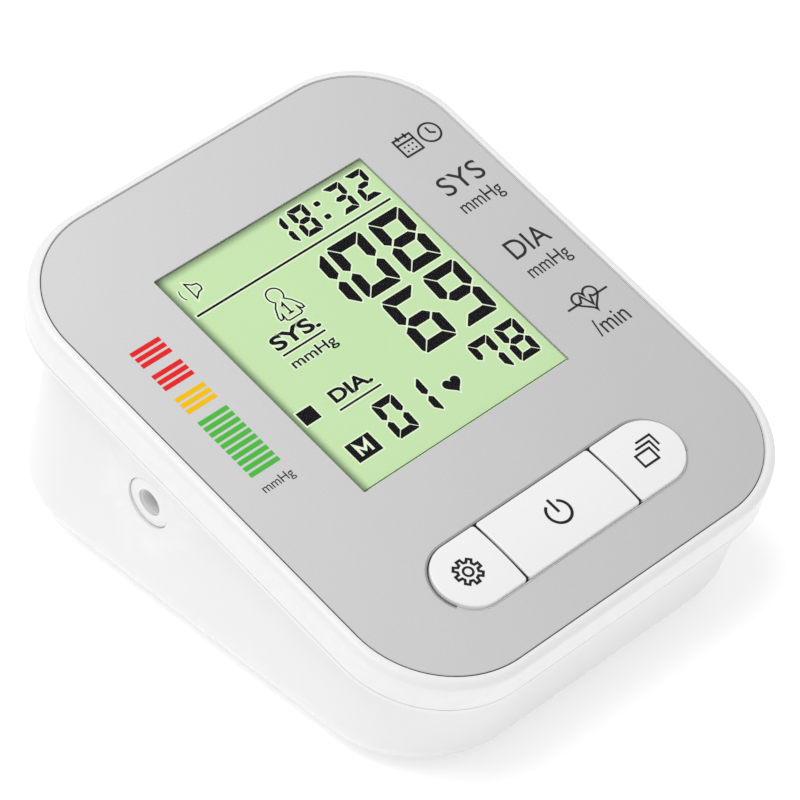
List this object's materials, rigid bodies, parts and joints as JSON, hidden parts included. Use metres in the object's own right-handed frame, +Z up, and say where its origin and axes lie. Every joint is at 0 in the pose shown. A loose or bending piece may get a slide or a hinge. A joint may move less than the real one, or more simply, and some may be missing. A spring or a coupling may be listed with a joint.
{
  "type": "upper arm blood pressure monitor",
  "caption": "Desktop monitor unit with a leaning silver face, recessed green display, a row of keys, an air socket on the side and a battery door underneath.",
  "frame": {"origin": "middle of the underside of the feet's plane, centred on the overall box", "axes": "+Z up, +Y towards the high back edge, +X to the right of a user in front of the keys"},
  "size_m": [0.1066, 0.1356, 0.0654],
  "materials": {
    "housing_white": "satin moulded",
    "fascia_silver": "fine silver grain",
    "key_grey": "satin",
    "clear_window": "clear",
    "display_glass": "pale green display",
    "display_backing": "pale green diffuser",
    "holder_white": "moulded",
    "socket_white": "satin moulded",
    "rubber_contact": "striped elastomer",
    "circuit_board": "solder mask",
    "chip_black": "epoxy",
    "screw_steel": "zinc plated",
    "contact_nickel": "nickel plated",
    "rubber_dark": "matt",
    "rubber_feet": "matt",
    "pump_plastic": "moulded",
    "motor_steel": "rolled can",
    "foam_dark": "open foam",
    "valve_steel": "plated yoke",
    "tube_silicone": "translucent silicone",
    "speaker_black": "paper and steel",
    "wire_red": "insulation",
    "wire_black": "insulation",
    "cell_jacket": "plain printed jacket"
  },
  "bodies": {
    "case": {"bottom_case": "housing_white", "top_cover": "housing_white", "fascia_panel": "fascia_silver", "rubber_feet": "rubber_feet", "air_socket": "socket_white", "display_lens": "clear_window", "lcd_glass": "display_glass", "lcd_reflector": "display_backing", "lcd_frame": "holder_white", "zebra_strip": "rubber_contact", "main_board": "circuit_board", "board_parts": "chip_black", "tact_switches": "chip_black", "board_screws": "screw_steel", "case_screws": "screw_steel", "contact_plates": "contact_nickel", "contact_springs": "contact_nickel", "socket_gasket": "rubber_dark", "socket_nut": "housing_white", "pump_head": "pump_plastic", "pump_motor": "motor_steel", "pump_cradle": "foam_dark", "tee_fitting": "holder_white", "exhaust_valve": "valve_steel", "pressure_sensor": "chip_black", "air_tubes": "tube_silicone", "speaker": "speaker_black", "motor_leads": "wire_red", "speaker_leads": "wire_black", "battery_leads": "wire_red", "battery_cell_1": "cell_jacket", "battery_cell_2": "cell_jacket", "battery_cell_3": "cell_jacket", "battery_cell_4": "cell_jacket"},
    "door": {"battery_door": "housing_white", "door_pad": "foam_dark"},
    "set_key": {"set_button": "key_grey", "set_plunger": "holder_white"},
    "power_key": {"power_button": "key_grey", "power_plunger": "holder_white"},
    "memory_key": {"memory_button": "key_grey", "memory_plunger": "holder_white"}
  },
  "joints": [
    {"name": "set_press", "type": "slide", "parent": "case", "child": "set_key", "axis": [0, 0.2538, -0.9673], "range_m": [0, 0.0006], "stiffness_N_per_m": 1200},
    {"name": "power_press", "type": "slide", "parent": "case", "child": "power_key", "axis": [0, 0.2538, -0.9673], "range_m": [0, 0.0006], "stiffness_N_per_m": 1200},
    {"name": "memory_press", "type": "slide", "parent": "case", "child": "memory_key", "axis": [0, 0.2538, -0.9673], "range_m": [0, 0.0006], "stiffness_N_per_m": 1200},
    {"name": "battery_door_hinge", "type": "hinge", "parent": "case", "child": "door", "pos_m": [0, -0.0072, 0.0018], "axis": [-1, 0, 0], "range_deg": [0, 80]}
  ]
}
